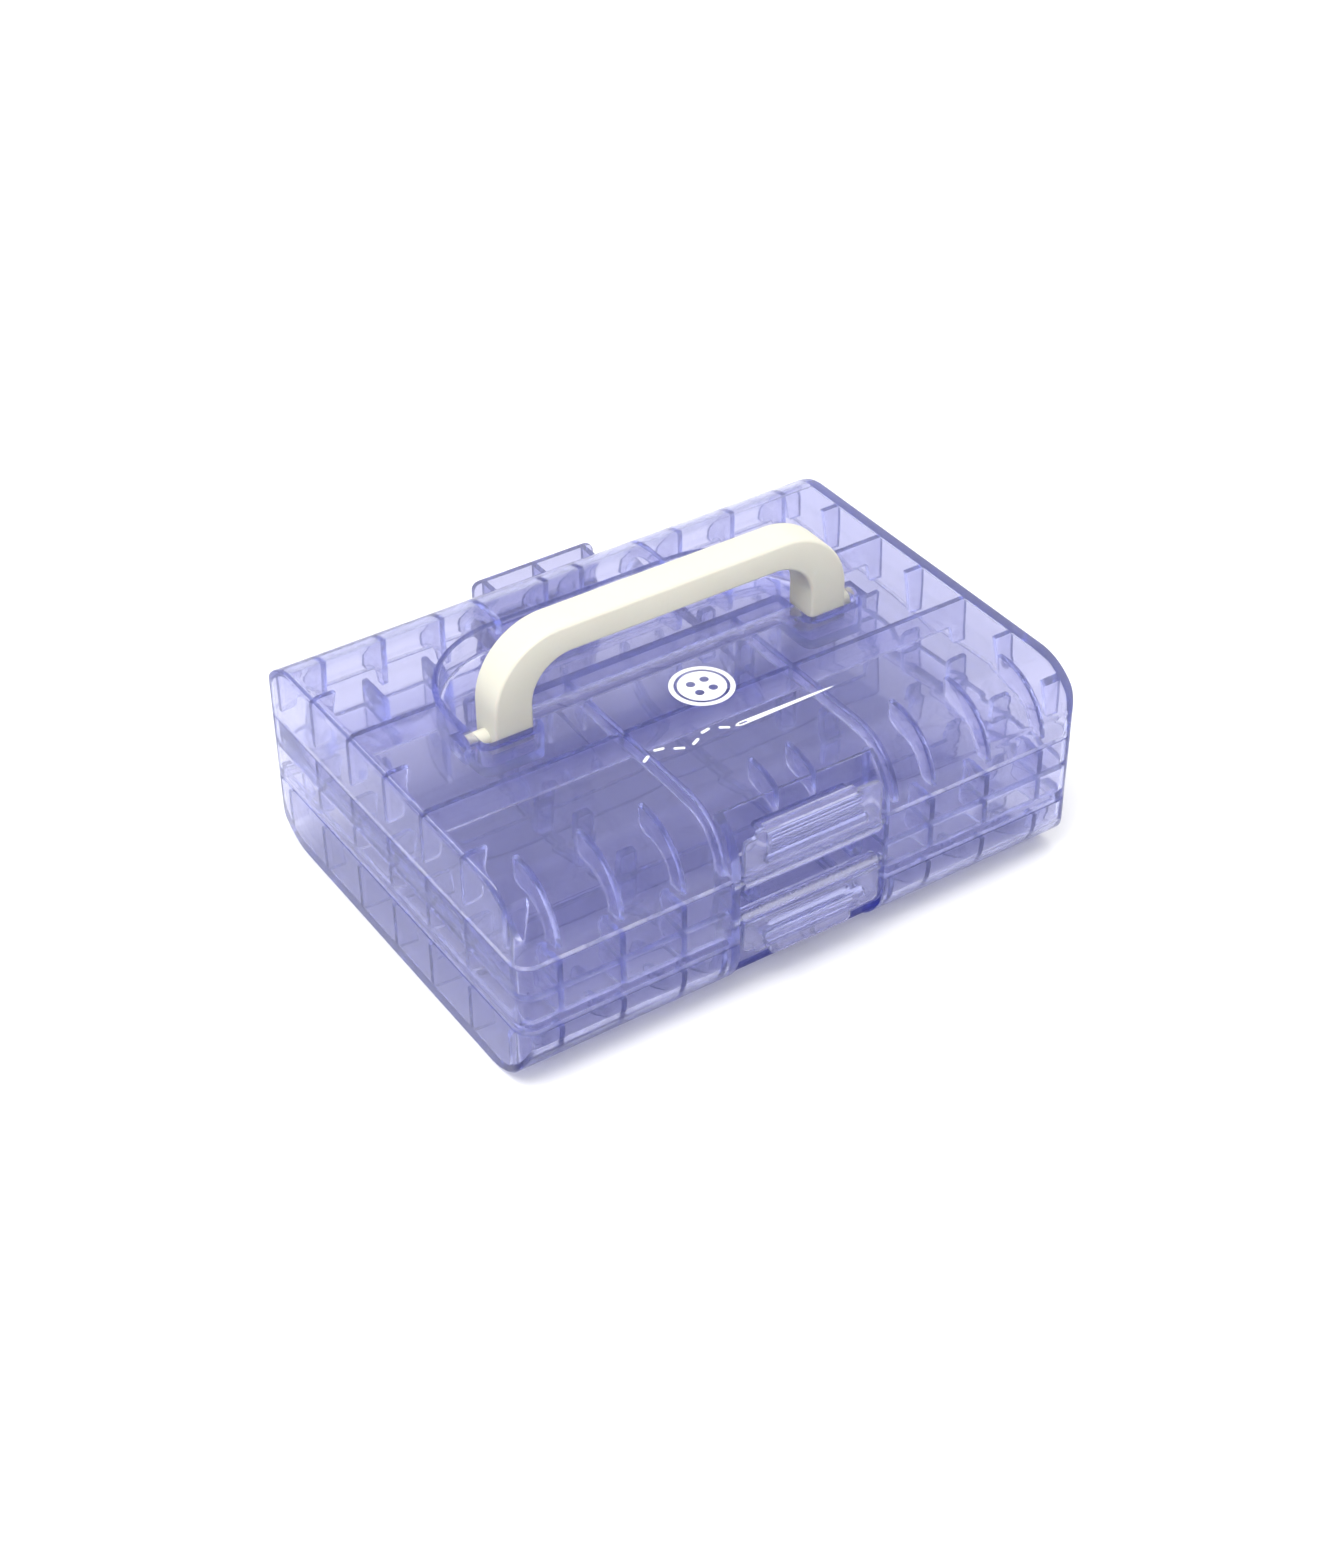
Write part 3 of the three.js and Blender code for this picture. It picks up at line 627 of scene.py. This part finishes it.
def buildTray():
    wall, sink = case["wall"], ribs["sink"]
    outer = roundedPlan(halfLength, halfDepth, case["cornerRound"])
    inner = roundedPlan(halfLength - wall, halfDepth - wall, case["cornerRound"] - wall)
    body = prism("middleTray", outer, "z", trayLow, trayHigh)
    settle(bevel(body, 0.25, 3, 60))
    mid, half = tray["floorMid"], tray["floorThick"] / 2
    for z in ((mid + half, trayHigh + 5), (trayLow - 5, mid - half)):
        pit = prism("pit", inner, "z", *z)
        merge(body, settle(bevel(pit, 0.8, 4, 60)), "DIFFERENCE")
    low, high = trayLow + tray["ribGap"], trayHigh - tray["ribGap"]
    edgeY, edgeX = halfDepth - wall, halfLength - wall
    front = roundedPlate("trayFront", None, (-edgeY - sink, -edgeY + tray["frontDepth"]),
                         (low, high), "x", 2.0, (0, 1, 1, 0))
    merge(body, row(front, (ribs["first"], 0, 0), (ribs["pitch"], 0, 0), ribs["count"], (-1, 1, 1)))
    back = roundedPlate("trayBack", None, (edgeY - tray["backDepth"], edgeY + sink),
                        (low, high), "x", 2.0, (1, 0, 0, 1))
    merge(body, row(back, (ribs["first"], 0, 0), (ribs["pitch"], 0, 0), ribs["count"], (-1, 1, 1)))
    stub = roundedPlate("trayStub", (edgeX - tray["stub"], edgeX + sink), None, (low, high),
                        "y", 2.0, (1, 0, 0, 1))
    merge(body, row(stub, (0, -2 * ribs["lane"], 0), (0, ribs["lane"], 0), 5, (1, -1, 1),
                    (0, 0, 180)))
    long, wide, tall = tray["post"]
    outline = roundCorners([(-long / 2, mid - tall - half), (long / 2, mid - tall - half),
                            (long / 2, mid + tall + half), (-long / 2, mid + tall + half)], 1.2)
    post = settle(bevel(prism("post", outline, "y", -wide / 2, wide / 2), 0.3, 2, 50))
    merge(body, row(post, (tray["postX"], -2 * ribs["lane"], 0), (0, ribs["lane"], 0), 5,
                    (-1, 1, 1)))
    inset = wall + tray["slack"]
    lowest = trayLow - tray["lipDrop"]
    corner = case["cornerRound"]
    lip = ring("lip", inset, inset + tray["lip"], (corner - inset, corner - inset - tray["lip"]),
               (lowest, trayLow + 0.5))
    gap = recess["half"] + recess["wall"] + tray["slack"]
    gapBack = recess["face"] + recess["wall"] + tray["slack"]
    merge(lip, block("lipGap", (-gap, gap), (-case["beyond"], gapBack), (lowest - 1, trayLow)),
          "DIFFERENCE")
    settle(lip)
    merge(body, settle(bevel(lip, 0.25, 2, 50)))
    rise = ring("rise", wall - sink, inset + tray["lip"], (corner - wall + sink,
                corner - inset - tray["lip"]), (trayLow + 0.001, trayLow + tray["lipRise"]))
    merge(body, settle(bevel(rise, 0.3, 2, 50)))
    merge(body, recessBlock((trayLow, trayHigh)))
    merge(body, recessCut((trayLow, trayHigh)), "DIFFERENCE")
    lugX, lugY, lugZ = tray["lug"]
    lug = settle(bevel(block("lug", (-lugX / 2, lugX / 2), (lugY, recess["face"] + 0.5), lugZ),
                       0.4, 3))
    merge(body, row(lug, (tray["lugAt"], 0, 0), (0, 0, 0), 1, (-1, 1, 1)))
    for z in tray["axisZ"]:
        merge(body, rod("bore", tray["bore"], -tray["boreEnd"], tray["boreEnd"], tray["axisY"], z),
              "DIFFERENCE")
    settle(body)
    return finishPiece(body, "tray", clearShell, ["middle_tray"])


buildLid()
buildBase()
buildTray()
print("stage: shells built")

# latches
latch = {
    "half": 20.9, "axisY": -62.4, "knuckle": 2.3, "bore": 1.15, "faceY": -64.8, "thick": 1.7,
    "corner": 3.2, "grip": (15.5, 2.0, 2.6), "panel": (14.6, 0.7), "ridgePitch": 1.05,
    "ridge": (13.6, 0.28, 0.3), "hook": (14, 2.0, 1.6), "edge": 0.3, "shoulder": (3.6, 1.6),
    "top": {"axis": 36.4, "up": 1, "reach": 15.3, "grip": 7.0, "ridges": 5},
    "bottom": {"axis": 25.0, "up": -1, "reach": 11.4, "grip": 4.4, "ridges": 3},
    "tab": (12.5, 3.0, 2.4), "slot": (13.6, 1.9),
}


def buildLatch(name, kind, body, replaced):
    spec, up = latch[kind], latch[kind]["up"]
    axis, reach, half, face = spec["axis"], spec["reach"], latch["half"], latch["faceY"]

    def rows(near, far):
        return tuple(sorted((axis + up * near, axis + up * far)))

    drop = latch["shoulder"][1]
    outline = [(-half, axis), (-half, axis + up * (reach - drop)),
               (-half + latch["shoulder"][0], axis + up * (reach - drop)),
               (-half + latch["shoulder"][0], axis + up * reach), (half - 1.2, axis + up * reach),
               (half, axis + up * (reach - 1.2)), (half, axis)]
    outline = roundCorners(outline, [0, 2.2, 0.7, 1.4, 1.6, 1.6, 0])
    plate = prism(name, outline, "y", face, face + latch["thick"])
    settle(bevel(plate, latch["edge"], 3, 50))
    gripHalf, gripDeep, gripTall = latch["grip"]
    low = reach - spec["grip"] - gripTall
    grip = block("grip", (-gripHalf, gripHalf), (face - gripDeep, face + 0.5),
                 rows(low, low + gripTall))
    merge(plate, settle(bevel(grip, 0.55, 4)))
    panelHalf, panelDeep = latch["panel"]
    panel = block("panel", (-panelHalf, panelHalf), (face - panelDeep, face + 0.5),
                  rows(low + 1, reach - 1.0))
    merge(plate, settle(bevel(panel, 0.3, 3)))
    ridgeHalf, ridgeTall, ridgeDeep = latch["ridge"]
    z = axis + up * (low + gripTall + 0.7)
    ridge = block("ridge", (-ridgeHalf, ridgeHalf),
                  (face - panelDeep - ridgeDeep, face - panelDeep + 0.2), (-ridgeTall, ridgeTall))
    settle(bevel(ridge, 0.12, 2))
    merge(plate, row(ridge, (0, 0, z), (0, 0, up * latch["ridgePitch"]), spec["ridges"],
                     look=clearFitting))
    hookHalf, hookDeep, hookTall = latch["hook"]
    back = face + latch["thick"]
    hook = block("hook", (-hookHalf, hookHalf), (back - 0.5, back + hookDeep),
                 rows(reach - hookTall - 0.5, reach - 0.5))
    merge(plate, settle(bevel(hook, 0.3, 3)))
    knuckle = rod("knuckle", latch["knuckle"], -half, half, latch["axisY"], axis)
    merge(plate, settle(bevel(knuckle, 0.3, 3, 60)))
    rim = block("rim", (-half, half), (face - 0.55, face + 0.5), rows(0.2, 1.5))
    merge(plate, settle(bevel(rim, 0.25, 3)))
    if up < 0:
        tabHalf, tabTall, tabRound = latch["tab"]
        tab = [(-tabHalf, axis - reach + 0.8), (-tabHalf, axis - reach - tabTall),
               (tabHalf, axis - reach - tabTall), (tabHalf, axis - reach + 0.8)]
        tab = prism("tab", roundCorners(tab, [0, tabRound, tabRound, 0]), "y", face,
                    face + latch["thick"])
        merge(plate, settle(bevel(tab, latch["edge"], 3, 50)))
        slotHalf, slotTall = latch["slot"]
        slot = [(-slotHalf, 0), (slotHalf, 0), (slotHalf, slotTall), (-slotHalf, slotTall)]
        slotLow = axis - low + 0.1
        slot = prism("slot", roundCorners([(x, z + slotLow) for x, z in slot], 0.9), "y",
                     face - 5, face + latch["thick"])
        merge(plate, slot, "DIFFERENCE")
    bore = rod("bore", latch["bore"], -half - 1, half + 1, latch["axisY"], axis)
    merge(plate, bore, "DIFFERENCE")
    settle(plate)
    return finishPiece(plate, body, clearFitting, replaced)


# hinge leaves at the back
leaf = {
    "half": 19.5, "axisY": 66.9, "knuckle": 1.6, "bore": 0.9, "thick": 1.7, "outer": 68.5,
    "corner": 2.6, "web": 1.6, "reach": 12.6, "slack": 0.3, "count": 5, "edge": 0.3,
}


def knuckleRow(axis, first, count, up):
    pitch = 2 * leaf["half"] / leaf["count"]
    width = pitch - leaf["slack"]
    x = -leaf["half"] + pitch * (first + 0.5)
    barrel = rod("knuckle", leaf["knuckle"], -width / 2, width / 2, leaf["axisY"], axis, 40)
    settle(bevel(barrel, 0.2, 2, 60))
    far = axis + up * (leaf["knuckle"] + leaf["slack"] + 0.5)
    neck = block("neck", (-width / 2, width / 2), (leaf["outer"] - leaf["thick"], leaf["outer"]),
                 tuple(sorted((axis, far))))
    settle(merge(barrel, neck))
    return row(barrel, (x, 0, 0), (2 * pitch, 0, 0), count, look=clearHinge)


def buildShellLeaf(name, form, axis, body, replaced):
    up, half = form["up"], leaf["half"] - leaf["slack"] / 2
    near = axis + up * (leaf["knuckle"] + leaf["slack"])
    far = form["seam"] + up * leaf["reach"]
    outline = roundCorners([(-half, near), (-half, far), (half, far), (half, near)],
                           [0, leaf["corner"], leaf["corner"], 0])
    plate = prism(name, outline, "y", leaf["outer"] - leaf["thick"], leaf["outer"])
    settle(bevel(plate, leaf["edge"], 3, 50))
    web = leaf["web"] / 2
    webX = half - leaf["corner"] - web
    rib = block("web", (-web, web), (halfDepth - 8.5, leaf["outer"] - 0.5),
                tuple(sorted((near, far))))
    shellSpace = prism("shellSpace", endView(form, -leaf["slack"], 5), "x",
                       -case["beyond"], case["beyond"])
    settle(merge(rib, shellSpace, "DIFFERENCE"))
    merge(plate, row(rib, (-webX, 0, 0), (webX, 0, 0), 3, look=clearHinge))
    merge(plate, knuckleRow(axis, 0, 3, up))
    merge(plate, rod("bore", leaf["bore"], -30, 30, leaf["axisY"], axis), "DIFFERENCE")
    settle(plate)
    return finishPiece(plate, body, clearHinge, replaced)


def buildTrayLeaf(lidAxis, baseAxis):
    half = leaf["half"] - leaf["slack"] / 2
    gap = leaf["knuckle"] + leaf["slack"]
    plate = block("trayHingeLeaf", (-half, half), (halfDepth + leaf["slack"], leaf["outer"]),
                  (baseAxis + gap, lidAxis - gap))
    settle(bevel(plate, leaf["edge"], 3))
    for axis, up in ((lidAxis, -1), (baseAxis, 1)):
        merge(plate, knuckleRow(axis, 1, 2, up))
        merge(plate, rod("bore", leaf["bore"], -30, 30, leaf["axisY"], axis), "DIFFERENCE")
    settle(plate)
    return finishPiece(plate, "tray", clearHinge, ["tray_hinge_leaf"])


# pins
pins = {"latch": (1.0, 23.35, -62.4), "hinge": (0.75, 19.5, 66.9), "dome": 0.35}


def buildPin(name, kind, z, body, replaced):
    radius, half, y = pins[kind]
    pin = rod(name, radius, -half, half, y, z, 40)
    settle(bevel(pin, pins["dome"], 4, 60))
    return finishPiece(pin, body, pinSteel, replaced)


# handle
handleSizes = {
    "half": 54, "top": 84, "thick": 8, "deep": 10.6, "leg": 11, "outerRound": 20, "innerRound": 12,
    "pivot": (1.3, 55.7), "trunnion": (2.4, 5.8), "edge": 0.9,
}


def buildHandle():
    spec = handleSizes
    outer, inner = spec["half"], spec["half"] - spec["leg"]
    y, z = spec["pivot"]
    foot, under = z - spec["deep"] / 2 - 1, spec["top"] - spec["thick"]
    side = [(outer, foot)] + arc((outer - spec["outerRound"], spec["top"] - spec["outerRound"]),
                                 spec["outerRound"], 0, 90, 28)
    side = side + [(-x, rise) for x, rise in reversed(side)]
    cut = [(inner, foot)] + arc((inner - spec["innerRound"], under - spec["innerRound"]),
                                spec["innerRound"], 0, 90, 24)
    cut = [(-x, rise) for x, rise in cut] + list(reversed(cut))
    bail = prism("bailHandle", side + cut, "y", y - spec["deep"] / 2, y + spec["deep"] / 2)
    settle(bevel(bail, spec["edge"], 5, 60))
    half = spec["deep"] / 2
    roundFoot = [(y + half + 1, spec["top"] + 5), (y - half - 1, spec["top"] + 5),
                 (y - half - 1, z + 6)] + arc((y, z), half, 180, 360, 32) + [(y + half + 1, z + 6)]
    merge(bail, prism("roundFoot", roundFoot, "x", -case["beyond"], case["beyond"]), "INTERSECT")
    radius, long = spec["trunnion"]
    for hand in (-1, 1):
        ends = sorted((hand * (inner + 1), hand * (outer + long)))
        peg = rod("trunnion", radius, ends[0], ends[1], y, z)
        merge(bail, settle(bevel(peg, 0.5, 4, 60)))
    settle(bail)
    return finishPiece(bail, "handle", ivoryLook, ["handle"])


# white motif on the lid: a button above a needle and its running thread
motif = {
    "thick": 0.14, "sink": 0.02, "button": (0.8, -14.3), "buttonRadius": 8.6, "rim": 1.3,
    "disc": 6.4, "hole": 1.25, "holeSpread": 2.1,
    "needle": (-2, 28.5, -33.2), "needleHalf": 0.8, "blunt": 0.06, "eye": (2.6, 0.34),
    "stitch": (2.9, 0.42), "path": (-28, -4.6, -32.2), "wave": 1.6, "waves": 1.5, "stitches": 6,
}


def inkShape(name, outline):
    low = lidHigh - motif["sink"]
    return prism(name, outline, "z", low, lidHigh + motif["thick"])


def stitchTree():
    tree, board, given = newTree("stitchesOnPath", [
        ("Start", "Vector"), ("Finish", "Vector"), ("Wave Height", "Float"), ("Waves", "Float"),
        ("Stitches", "Int"), ("Material", "Material")])
    line = board.add("GeometryNodeCurvePrimitiveLine", {"mode": "POINTS"}, {
        "Start": given["Start"], "End": given["Finish"]})
    fine = board.add("GeometryNodeResampleCurve", {"mode": "COUNT"}, {"Curve": line, "Count": 96})
    along = board.add("GeometryNodeSplineParameter", out="Factor")
    swing = board.add("ShaderNodeMath", {"operation": "SINE"}, {
        0: along * given["Waves"] * (2 * math.pi)}) * given["Wave Height"]
    bent = board.add("GeometryNodeSetPosition", {}, {
        "Geometry": fine, "Offset": vectorOf(board, Y=swing)})
    points = board.tree.nodes.new("GeometryNodeCurveToPoints")
    points.mode = "COUNT"
    board.tree.links.new(bent.socket, points.inputs["Curve"])
    board.tree.links.new(given["Stitches"].socket, points.inputs["Count"])
    turn = board.add("FunctionNodeAlignRotationToVector", {"axis": "X"}, {
        "Vector": Wire(board, points.outputs["Tangent"])})
    copies = board.add("GeometryNodeInstanceOnPoints", {}, {
        "Points": Wire(board, points.outputs["Points"]), "Instance": given["Geometry"],
        "Rotation": turn})
    closeTree(board, copies, given["Material"])
    return tree


def buildMotif():
    x, y = motif["button"]
    button = inkShape("buttonPrint", arc((x, y), motif["buttonRadius"], 0, 357, 119))
    merge(button, prism("ringGap", arc((x, y), motif["buttonRadius"] - motif["rim"], 0, 357, 119),
                        "z", 50, 70), "DIFFERENCE")
    settle(button)
    disc = inkShape("disc", arc((x, y), motif["disc"], 0, 357, 119))
    for spreadX in (-1, 1):
        for spreadY in (-1, 1):
            centre = (x + spreadX * motif["holeSpread"], y + spreadY * motif["holeSpread"])
            merge(disc, prism("hole", arc(centre, motif["hole"], 0, 350, 35), "z", 50, 70),
                  "DIFFERENCE")
    merge(button, settle(disc))
    startX, endX, lineY = motif["needle"]
    half, reach = motif["needleHalf"], motif["needle"][1] - motif["needle"][0]
    blunt, upper = motif["blunt"], []
    for i in range(41):  # a blunt end, then a long taper to the point
        t = i / 40
        share = t / blunt if t < blunt else (1 - t) / (1 - blunt)
        upper.append((startX + reach * t, lineY + half * math.sqrt(share)))
    outline = upper[:-1] + [(endX, lineY)] + [(px, 2 * lineY - py) for px, py in
                                              reversed(upper[1:-1])]
    needle = inkShape("needle", outline)
    eyeLong, eyeHalf = motif["eye"]
    eye = roundCorners([(startX + 1.1, lineY - eyeHalf), (startX + 1.1 + eyeLong, lineY - eyeHalf),
                        (startX + 1.1 + eyeLong, lineY + eyeHalf), (startX + 1.1, lineY + eyeHalf)],
                       eyeHalf)
    settle(merge(needle, prism("eye", eye, "z", 50, 70), "DIFFERENCE"))
    merge(button, needle)
    long, thin = motif["stitch"]
    half = long / 2
    flat = roundCorners([(-half, -thin), (half, -thin), (half, thin), (-half, thin)], thin)
    stitch = prism("stitch", flat, "z", -motif["sink"], motif["thick"])
    work = stitch.modifiers.new("stitches", "NODES")
    work.node_group = stitchTree()
    keys = {item.name: item.identifier for item in work.node_group.interface.items_tree
            if item.in_out == "INPUT"}
    x0, x1, pathY = motif["path"]
    values = {"Start": (x0 * mm, pathY * mm, lidHigh * mm), "Finish": (x1 * mm, pathY * mm,
              lidHigh * mm), "Wave Height": motif["wave"] * mm, "Waves": motif["waves"],
              "Stitches": motif["stitches"], "Material": whiteInk}
    for label, value in values.items():
        work[keys[label]] = value
    merge(button, settle(stitch))
    settle(button)
    return finishPiece(button, "lid", whiteInk, [])


lidAxis, baseAxis = trayHigh + case["seamGap"] / 2, baseTop + case["seamGap"] / 2
buildLatch("topLatch", "top", "top_latch", ["top_latch"])
buildLatch("bottomLatch", "bottom", "bottom_latch", ["bottom_latch"])
buildShellLeaf("lidHingeLeaf", lidForm, lidAxis, "lid", ["lid_hinge_leaf"])
buildShellLeaf("baseHingeLeaf", baseForm, baseAxis, "base", ["base_hinge_leaf"])
buildTrayLeaf(lidAxis, baseAxis)
buildPin("topLatchPin", "latch", latch["top"]["axis"], "tray", ["top_latch_pin"])
buildPin("bottomLatchPin", "latch", latch["bottom"]["axis"], "tray", ["bottom_latch_pin"])
buildPin("lidHingePin", "hinge", lidAxis, "tray", ["lid_hinge_pin"])
buildPin("baseHingePin", "hinge", baseAxis, "base", ["base_hinge_pin"])
buildHandle()
buildMotif()
print("stage: fittings, handle and motif built")


# studio
studio = {
    "eye": (-314.1, -475.1, 456.8), "look": (0.4365, 0.6620, -0.6092), "roll": -0.48, "lens": 61.9,
    "sky": [(0.0, 0.4), (0.5, 0.45), (0.62, 0.8), (0.8, 1.25), (1.0, 1.45)],
    "backdrop": [(0.0, 0.9), (0.495, 0.95), (0.5, 1.01), (0.8, 1.1), (1.0, 1.2)],
    "floorShade": (0.95, 0.95, 0.955), "floorDrop": 0.25, "floorHalf": 30,
    "softbox": {"place": (-420, -260, 900), "size": 420, "power": 5.0},
}


def buildStudio():
    scene = bpy.context.scene
    camera = bpy.data.objects.new("camera", bpy.data.cameras.new("camera"))
    scene.collection.objects.link(camera)
    camera.data.lens = studio["lens"]
    camera.data.sensor_width = 36
    camera.data.clip_end = 20
    turn = Vector(studio["look"]).to_track_quat("-Z", "Y").to_matrix().to_4x4()
    roll = Matrix.Rotation(math.radians(studio["roll"]), 4, "Z")
    camera.matrix_world = Matrix.Translation(Vector(studio["eye"]) * mm) @ turn @ roll
    scene.camera = camera
    scene.view_settings.view_transform = "Standard"
    scene.cycles.max_bounces = 28
    scene.cycles.transmission_bounces = 28
    scene.cycles.transparent_max_bounces = 16
    world = bpy.data.worlds.new("studioSky")
    scene.world = world
    world.use_nodes = True
    board = NodeBoard(world.node_tree)
    lookUp = board.add("ShaderNodeSeparateXYZ", {}, {
        0: board.add("ShaderNodeTexCoord", out="Generated")}, out="Z")
    height = lookUp * 0.5 + 0.5
    ramps = [board.add("ShaderNodeValToRGB", {"stops": [(place, (shade, shade, shade, 1))
                       for place, shade in studio[name]]}, {0: height})
             for name in ("backdrop", "sky")]
    matt = board.add("ShaderNodeLightPath", out="Is Diffuse Ray")
    both = board.add("ShaderNodeMix", {"data_type": "RGBA"}, {0: matt, 6: ramps[0], 7: ramps[1]},
                     out=2)
    sky = board.add("ShaderNodeBackground", {}, {"Color": both, "Strength": 1.0})
    board.add("ShaderNodeOutputWorld", {}, {"Surface": sky})
    light = studio["softbox"]
    lamp = bpy.data.lights.new("softbox", "AREA")
    lamp.size = light["size"] * mm
    lamp.energy = light["power"]
    lampPiece = bpy.data.objects.new("softbox", lamp)
    scene.collection.objects.link(lampPiece)
    lampPiece.location = Vector(light["place"]) * mm
    lampPiece.rotation_euler = (-lampPiece.location).to_track_quat("-Z", "Y").to_euler()
    mesh = bpy.data.meshes.new("floor")
    half = studio["floorHalf"]
    low = -studio["floorDrop"] * mm
    mesh.from_pydata([(-half, -half, low), (half, -half, low), (half, half, low),
                      (-half, half, low)], [], [(0, 1, 2, 3)])
    floor = bpy.data.objects.new("floor", mesh)
    scene.collection.objects.link(floor)
    material, board = newMaterial("paleFloor")
    cloud = noise(board, 3.0)
    shade = studio["floorShade"]
    colour = board.add("ShaderNodeMix", {"data_type": "RGBA"}, {
        0: cloud, 6: (*[c * 0.985 for c in shade], 1), 7: (*shade, 1)}, out=2)
    surface = board.add("ShaderNodeBsdfPrincipled", {}, {"Base Color": colour, "Roughness": 0.8,
                        "Specular IOR Level": 0.1})
    board.add("ShaderNodeOutputMaterial", {}, {"Surface": surface})
    floor.data.materials.append(material)


buildStudio()
print("stage: studio ready")
